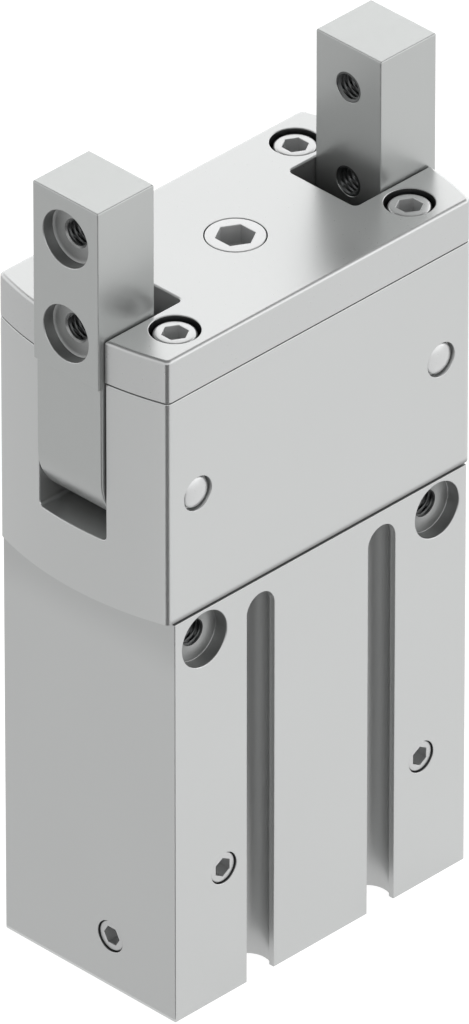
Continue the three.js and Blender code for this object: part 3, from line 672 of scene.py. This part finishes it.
def domed_pin(node):
    """A pivot pin with its chamfered and slightly domed ends."""
    low, high = box_mm(node)
    r, half = (high.x - low.x) / 2, (high.y - low.y) / 2
    end = [(r, half - 0.8), (r - 0.06, half - 0.66)]
    end += [(r * share, half - 0.65 * share**2) for share in (0.92, 0.8, 0.65, 0.5, 0.35, 0.2, 0.0)]
    profile = [(px, -h) for px, h in reversed(end)] + end
    return lathe(profile, ((low.x + high.x) / 2, 0, (low.z + high.z) / 2), "+y")


# ================= jaws =================

def finger():
    low = (FINGER["inner"], -FINGER["half_y"], FINGER["bottom"])
    high = (FINGER["outer"], FINGER["half_y"], FINGER["top"])
    return block(low, high, FINGER_EDGE)


def lever():
    """The upright lever with its round heel, drawn in (X, Z) and pushed along Y."""
    inner, outer, r = PIVOT.x - LEVER["inner"], PIVOT.x + LEVER["reach"], LEVER["heel_r"]
    foot = -math.degrees(math.acos((inner - outer + r) / r))
    outline = [(inner, FINGER["bottom"] + 1), *arc(outer - r, PIVOT.z + LEVER["heel_rise"], r, foot, 0, 32)]
    outline.append((outer, FINGER["bottom"] + 1))
    half = LEVER["half_y"]
    bm = prism(outline, -half, half)
    round_rims(bm, -half, LEVER["edge"])
    round_rims(bm, half, LEVER["edge"])
    return place(bm, (0, 0, 0), "-y")


def drive_centre():
    reach = DRIVE["arm"] / math.sqrt(2)
    return (PIVOT.x - reach, 0, PIVOT.z - reach)


def drive_arm():
    """The tapered arm from the pivot down to the drive pin, as the outline round two circles."""
    big, small = DRIVE["hub_r"], DRIVE["boss_r"]
    spread = math.degrees(math.acos((big - small) / DRIVE["arm"]))
    ahead = DRIVE["direction"]
    far = drive_centre()
    outline = [
        *arc(PIVOT.x, PIVOT.z, big, ahead + spread, ahead + 360 - spread, 24),
        *arc(far[0], far[2], small, ahead - spread, ahead + spread, 24),
    ]
    half = LEVER["half_y"]
    bm = prism(outline, -half, half)
    round_rims(bm, -half, DRIVE["edge"])
    round_rims(bm, half, DRIVE["edge"])
    return place(bm, (0, 0, 0), "-y")


def jaw_bore(z):
    """A sleeve seat on the finger's outer face, with its tapped hole through to the inner face."""
    bore, outer, inner = JAW_BORE, FINGER["outer"], FINGER["inner"]
    r, depth = bore["r"], bore["depth"]
    core, major, _ = JAW_THREAD
    width = outer - inner
    floor = -bore["floor_depth"]
    profile = [
        (0, 1.0), *mouth(r, 0.2), (r, -depth + 0.05), (bore["floor_r"], floor),
        (core + 0.35, floor), (core + 0.1, floor - 0.25), (core + 0.1, floor - 0.35), (major, floor - 0.35),
        (major, -width + 0.05), (major + 0.06, -width - 0.02), (major + 0.06, -width - 1), (0, -width - 1),
    ]
    return lathe(profile, (outer, 0, z), "+x")


def jaw(side):
    """The right jaw; the left one is the same piece turned half round."""
    half = LEVER["half_y"]
    body = join(lever(), finger(), drive_arm())
    far_corner = (PIVOT.x + FORK["x"], FORK["half_y"], PIVOT.z + FORK["z"])
    gap = cut(
        block((-5, -FORK["half_y"], PIVOT.z - 20), far_corner),
        lathe([(0, -5), (FORK["hub_r"], -5), (FORK["hub_r"], 5), (0, 5)], tuple(PIVOT), "+y"),
    )
    tools = [gap, *[jaw_bore(z) for z in JAW_BORE["zs"]]]
    for r, at in ((BUSH_HOLE_R, tuple(PIVOT)), (DRIVE["hole"], drive_centre())):
        tools.append(lathe([(0, -half - 2), (r, -half - 2), (r, half + 2), (0, half + 2)], at, "+y"))
    bm = cut(body, *tools)
    width = FINGER["outer"] - FINGER["inner"]
    floor = JAW_BORE["floor_depth"]
    # Painted shade: each sleeve seat of the finger takes the darker seat finish.
    for z in JAW_BORE["zs"]:
        at = (FINGER["outer"], 0, z)
        mark_hole(bm, SEAT_FINISH, at, "+x", JAW_BORE["r"], floor + 0.4)
        add_threads(bm, thread(JAW_THREAD, -floor - 0.35, 0.07 - width, at, "+x"))
    if side == "left":
        bm.transform(Matrix.Rotation(math.pi, 4, "Z"))
    return bm


# ================= materials =================

BROAD_SCALE = 45.0
GLOSS_SPREAD = 0.06
RELIEF_DEPTH = 0.00002


def principled(name, colour, metallic, roughness, grain, bump, spread=0.03, stretch=(1, 1, 1)):
    """A surface with fine grain in its colour, gloss and relief, and broad soft patches in its colour.

    grain is in grains per metre, and stretch makes the grain long where it is small.
    """
    material = bpy.data.materials.new(name)
    material.use_nodes = True
    nodes, links = material.node_tree.nodes, material.node_tree.links
    shader = nodes["Principled BSDF"]
    shader.inputs["Metallic"].default_value = metallic
    where = nodes.new("ShaderNodeTexCoord")
    scale = nodes.new("ShaderNodeMapping")
    scale.inputs["Scale"].default_value = stretch
    links.new(where.outputs["Object"], scale.inputs["Vector"])
    fine = nodes.new("ShaderNodeTexNoise")
    fine.inputs["Scale"].default_value = grain
    fine.inputs["Detail"].default_value = 4.0
    links.new(scale.outputs["Vector"], fine.inputs["Vector"])
    broad = nodes.new("ShaderNodeTexNoise")
    broad.inputs["Scale"].default_value = BROAD_SCALE
    broad.inputs["Detail"].default_value = 2.0
    links.new(where.outputs["Object"], broad.inputs["Vector"])
    tone = nodes.new("ShaderNodeMix")
    tone.data_type = "RGBA"
    tone.inputs["A"].default_value = (*[c * (1 - spread) for c in colour], 1)
    tone.inputs["B"].default_value = (*[min(1, c * (1 + spread)) for c in colour], 1)
    blend = nodes.new("ShaderNodeMath")
    blend.operation = "MULTIPLY_ADD"
    blend.inputs[1].default_value = 0.5
    links.new(fine.outputs["Fac"], blend.inputs[0])
    half = nodes.new("ShaderNodeMath")
    half.operation = "MULTIPLY"
    half.inputs[1].default_value = 0.5
    links.new(broad.outputs["Fac"], half.inputs[0])
    links.new(half.outputs[0], blend.inputs[2])
    links.new(blend.outputs[0], tone.inputs["Factor"])
    links.new(tone.outputs["Result"], shader.inputs["Base Color"])
    gloss = nodes.new("ShaderNodeMapRange")
    gloss.inputs["To Min"].default_value = roughness - GLOSS_SPREAD
    gloss.inputs["To Max"].default_value = roughness + GLOSS_SPREAD
    links.new(fine.outputs["Fac"], gloss.inputs["Value"])
    links.new(gloss.outputs["Result"], shader.inputs["Roughness"])
    relief = nodes.new("ShaderNodeBump")
    relief.inputs["Strength"].default_value = bump
    relief.inputs["Distance"].default_value = RELIEF_DEPTH
    links.new(fine.outputs["Fac"], relief.inputs["Height"])
    links.new(relief.outputs["Normal"], shader.inputs["Normal"])
    return material


def smooth_shade(material, source, share, dark_at, clear_at):
    """A socket for painted shade, which goes smoothly from share to 1 as source goes from dark_at to
    clear_at, in millimetres.
    """
    rise = material.node_tree.nodes.new("ShaderNodeMapRange")
    rise.interpolation_type = "SMOOTHSTEP"
    rise.inputs["From Min"].default_value = dark_at * MM
    rise.inputs["From Max"].default_value = clear_at * MM
    rise.inputs["To Min"].default_value = share
    rise.inputs["To Max"].default_value = 1.0
    material.node_tree.links.new(source, rise.inputs["Value"])
    return rise.outputs["Result"]


def shade_joint(material, share, heights, halves):
    """Paints shade into the metal: darkens its colour to a share of it near a joint, where shade falls.

    Each pair of millimetres says where height Z, or distance |X|, is fully dark and where it is clear.
    """
    nodes, links = material.node_tree.nodes, material.node_tree.links
    base = nodes["Principled BSDF"].inputs["Base Color"]
    source = base.links[0].from_socket
    where = nodes.new("ShaderNodeTexCoord")
    apart = nodes.new("ShaderNodeSeparateXYZ")
    links.new(where.outputs["Object"], apart.inputs[0])
    across = nodes.new("ShaderNodeMath")
    across.operation = "ABSOLUTE"
    links.new(apart.outputs["X"], across.inputs[0])
    level = nodes.new("ShaderNodeMath")
    level.operation = "MAXIMUM"
    links.new(smooth_shade(material, apart.outputs["Z"], share, *heights), level.inputs[0])
    links.new(smooth_shade(material, across.outputs[0], share, *halves), level.inputs[1])
    dim = nodes.new("ShaderNodeVectorMath")
    dim.operation = "SCALE"
    links.new(source, dim.inputs[0])
    links.new(level.outputs[0], dim.inputs["Scale"])
    links.new(dim.outputs["Vector"], base)


ALUMINIUM = ((0.50, 0.508, 0.505), 0.85, 0.32, 2600, 0.1)
SATIN = principled("satin_aluminium", *ALUMINIUM)
HOUSING = principled("housing_aluminium_painted_shade", *ALUMINIUM)
# Painted shade: the housing's colour is darkened at the foot of its front and back, and the body's colour on
# its ends, below the bowed overhang.
shade_joint(HOUSING, 0.35, (HOUSING_LOW.z, HOUSING_LOW.z + 1.1), (30.0, 30.9))
BLOCK = principled("body_aluminium_painted_shade", *ALUMINIUM)
shade_joint(BLOCK, 0.885, (HOUSING_LOW.z - 2.5, HOUSING_LOW.z - 10.5), (30.1, 29.9))
PLATE = principled("bright_plate", (0.485, 0.492, 0.49), 0.85, 0.3, 2600, 0.1)
JAW = principled("jaw_steel", (0.412, 0.422, 0.417), 0.85, 0.31, 1500, 0.12, 0.03, (1, 1, 0.12))
BRIGHT = principled("bright_steel", (0.53, 0.535, 0.535), 0.8, 0.3, 4000, 0.0, 0.015)
PLUG = principled("plug_steel", (0.5, 0.505, 0.505), 0.8, 0.3, 4000, 0.0, 0.015)
DARK = principled("dark_steel", (0.16, 0.165, 0.17), 0.7, 0.42, 1500, 0.15, 0.08)
# Painted shade: a near-black metal for threads and the walls of holes, standing in for the shade deep inside
# them.
HOLE_SHADE = principled("painted_hole_shade", (0.1, 0.103, 0.103), 0.9, 0.34, 2600, 0.05)
BORED = principled("milled_metal", (0.44, 0.445, 0.443), 0.85, 0.34, 5200, 0.25, 0.08)
# Painted shade: a darker copy of the metal for the sleeve seats, standing in for the shade in them. Its
# roughness and grain are a real bored finish.
SEATED = principled("bored_metal_painted_shade", (0.3, 0.305, 0.303), 0.85, 0.4, 3600, 0.5, 0.15)
# Partly painted light: a broached, less metallic copy of the steel that looks lighter in sockets and on the
# plate slots' end walls, standing in for the soft light falling there.
SOCKET = principled("broached_steel_painted_light", (0.52, 0.525, 0.525), 0.55, 0.42, 3000, 0.1, 0.03)
BRONZE = principled("bronze", (0.55, 0.38, 0.18), 0.9, 0.42, 1500, 0.2, 0.06)
RUBBER = principled("rubber", (0.02, 0.02, 0.022), 0.0, 0.6, 1200, 0.2, 0.1)
MAGNET = principled("magnet", (0.09, 0.09, 0.1), 0.4, 0.5, 1200, 0.2, 0.1)
BY_SLOT = {
    "satin_aluminium": SATIN, "bright_plate": PLATE, "jaw_steel": JAW, "bright_steel": BRIGHT,
    "plug_steel": PLUG, "dark_steel": DARK, "bronze": BRONZE, "rubber": RUBBER, "magnet": MAGNET,
}


def dress_cad_nodes():
    """Every CAD node gets its slot's material, whether or not a piece stands for it."""
    slots = {s["node"]: s["material_slot"] for s in frame["record"]["subparts"]}
    for name, obj in frame["nodes"].items():
        obj.data.materials.clear()
        obj.data.materials.append(BY_SLOT[slots[name]])


# ================= pieces =================

def make_pieces():
    finish_piece("cylinder_body_look", cylinder_body(), "gripper_body", "cylinder_body",
                 "satin_aluminium", BLOCK)
    finish_piece("mechanism_housing_look", mechanism_housing(), "gripper_body", "mechanism_housing",
                 "satin_aluminium", HOUSING)
    finish_piece("top_plate_look", top_plate(), "gripper_body", "top_plate", "bright_plate")
    for side in ("left", "right"):
        finish_piece(f"jaw_{side}_look", jaw(side), f"{side}_jaw", f"jaw_{side}", "jaw_steel")
        node = f"pivot_pin_{side}"
        finish_piece(node + "_look", domed_pin(node), "gripper_body", node, "bright_steel")
    for i in range(1, 5):
        node = f"plate_screw_{i}"
        finish_piece(node + "_look", plate_screw(node), "gripper_body", node, "bright_steel")
    finish_piece("centre_plug_look", centre_plug(), "gripper_body", "centre_plug", "bright_steel")
    for node, axis in (
        ("port_plug_front_left", "-y"), ("port_plug_front_right", "-y"),
        ("port_plug_end_left", "-x"), ("port_plug_end_right", "+x"),
    ):
        finish_piece(node + "_look", port_plug(node, axis), "gripper_body", node, "plug_steel")


# ================= stage, light and camera =================

CAMERA = {"azimuth": -45.2209, "elevation": 33.2773, "distance": 3187.9, "target_z": 58.93}
CAMERA_LENS = 770.0
CAMERA_AIM = (-0.1, 0.1, 66.9)
FLOOR = {"size": 12.0, "drop": 0.05, "grey": 0.25, "glow": 0.94}
# The studio's walls: brightness level with the gripper, and how much it grows to the right and to the back.
WALL_LEVEL = 1.62
WALL_TILT = (0.62, 0.08, 0.0)
# The walls fade into a dim ceiling between these two heights of direction, 1 being straight up.
FADE_FROM, FADE_TO = 0.6, 0.74
CEILING_SHARE = 0.18
# Grey cards lying on the floor, seen only in reflections. Each is a sector round the near left corner:
# azimuths from and to, brightness.
CARDS = {
    "card_left": (-188, -92, 0.8),
    "card_corner": (-76, -14, 0.02),
}
CARD = {"reach": 0.8, "height": 0.0005}


def make_camera():
    """Looks down on the near left corner from far away with a long lens."""
    a, e = math.radians(CAMERA["azimuth"]), math.radians(CAMERA["elevation"])
    back = Vector((math.sin(a) * math.cos(e), -math.cos(a) * math.cos(e), math.sin(e)))
    data = bpy.data.cameras.new("camera")
    data.lens = CAMERA_LENS
    data.sensor_width = 36.0
    data.clip_start, data.clip_end = 0.1, 50.0
    camera = bpy.data.objects.new("camera", data)
    bpy.context.scene.collection.objects.link(camera)
    camera.location = (Vector((0, 0, CAMERA["target_z"])) + back * CAMERA["distance"]) * MM
    aim = Vector(CAMERA_AIM) * MM
    camera.rotation_mode = "QUATERNION"
    camera.rotation_quaternion = (aim - camera.location).to_track_quat("-Z", "Y")
    bpy.context.scene.camera = camera


def make_stage():
    """A plain white floor under the gripper."""
    mesh = bpy.data.meshes.new("floor")
    bm = bmesh.new()
    bmesh.ops.create_grid(bm, x_segments=1, y_segments=1, size=FLOOR["size"])
    bm.to_mesh(mesh)
    bm.free()
    floor = bpy.data.objects.new("floor", mesh)
    bpy.context.scene.collection.objects.link(floor)
    material = bpy.data.materials.new("floor_white")
    material.use_nodes = True
    shader = material.node_tree.nodes["Principled BSDF"]
    shader.inputs["Base Color"].default_value = (FLOOR["grey"], FLOOR["grey"], FLOOR["grey"], 1)
    shader.inputs["Roughness"].default_value = 0.9
    shader.inputs["Specular IOR Level"].default_value = 0.0
    shader.inputs["Emission Color"].default_value = (1, 1, 1, 1)
    shader.inputs["Emission Strength"].default_value = FLOOR["glow"]
    mesh.materials.append(material)
    floor.location.z = -FLOOR["drop"] * MM


def reflection_card(name, start, end, brightness):
    """A sector just above the floor, in metres. Azimuth 0 is the front, and -90 the left."""
    bm = bmesh.new()
    cx, cy = BODY_LOW.x * MM, BODY_LOW.y * MM
    rim = arc(cx, cy, CARD["reach"], start - 90, end - 90, 12)
    bm.faces.new([bm.verts.new((x, y, CARD["height"])) for x, y in [(cx, cy), *rim[::-1]]])
    mesh = bpy.data.meshes.new(name)
    bm.to_mesh(mesh)
    bm.free()
    card = bpy.data.objects.new(name, mesh)
    bpy.context.scene.collection.objects.link(card)
    material = bpy.data.materials.new(name)
    material.use_nodes = True
    shader = material.node_tree.nodes["Principled BSDF"]
    shader.inputs["Base Color"].default_value = (0, 0, 0, 1)
    shader.inputs["Specular IOR Level"].default_value = 0.0
    shader.inputs["Emission Color"].default_value = (1, 1, 1, 1)
    shader.inputs["Emission Strength"].default_value = brightness
    mesh.materials.append(material)
    card.visible_camera = card.visible_diffuse = card.visible_shadow = False


def make_light():
    """A pale studio: bright walls, brighter to the right, under a dim ceiling."""
    world = bpy.data.worlds.new("studio")
    bpy.context.scene.world = world
    world.use_nodes = True
    nodes, links = world.node_tree.nodes, world.node_tree.links
    where = nodes.new("ShaderNodeTexCoord")
    tilt = nodes.new("ShaderNodeVectorMath")
    tilt.operation = "DOT_PRODUCT"
    tilt.inputs[1].default_value = WALL_TILT
    links.new(where.outputs["Generated"], tilt.inputs[0])
    wall = nodes.new("ShaderNodeMath")
    wall.operation = "ADD"
    wall.inputs[1].default_value = WALL_LEVEL
    links.new(tilt.outputs["Value"], wall.inputs[0])
    height = nodes.new("ShaderNodeSeparateXYZ")
    links.new(where.outputs["Generated"], height.inputs[0])
    fade = nodes.new("ShaderNodeMapRange")
    fade.interpolation_type = "SMOOTHSTEP"
    fade.inputs["From Min"].default_value = FADE_FROM
    fade.inputs["From Max"].default_value = FADE_TO
    fade.inputs["To Min"].default_value = 1.0
    fade.inputs["To Max"].default_value = CEILING_SHARE
    links.new(height.outputs["Z"], fade.inputs["Value"])
    strength = nodes.new("ShaderNodeMath")
    strength.operation = "MULTIPLY"
    links.new(wall.outputs[0], strength.inputs[0])
    links.new(fade.outputs["Result"], strength.inputs[1])
    nodes["Background"].inputs["Color"].default_value = (1, 1, 1, 1)
    links.new(strength.outputs[0], nodes["Background"].inputs["Strength"])
    settings = bpy.context.scene.view_settings
    settings.view_transform = "Standard"
    settings.look = "None"


dress_cad_nodes()
make_pieces()
make_camera()
make_stage()
make_light()
for card_name, card_place in CARDS.items():
    reflection_card(card_name, *card_place)
bpy.context.view_layer.update()
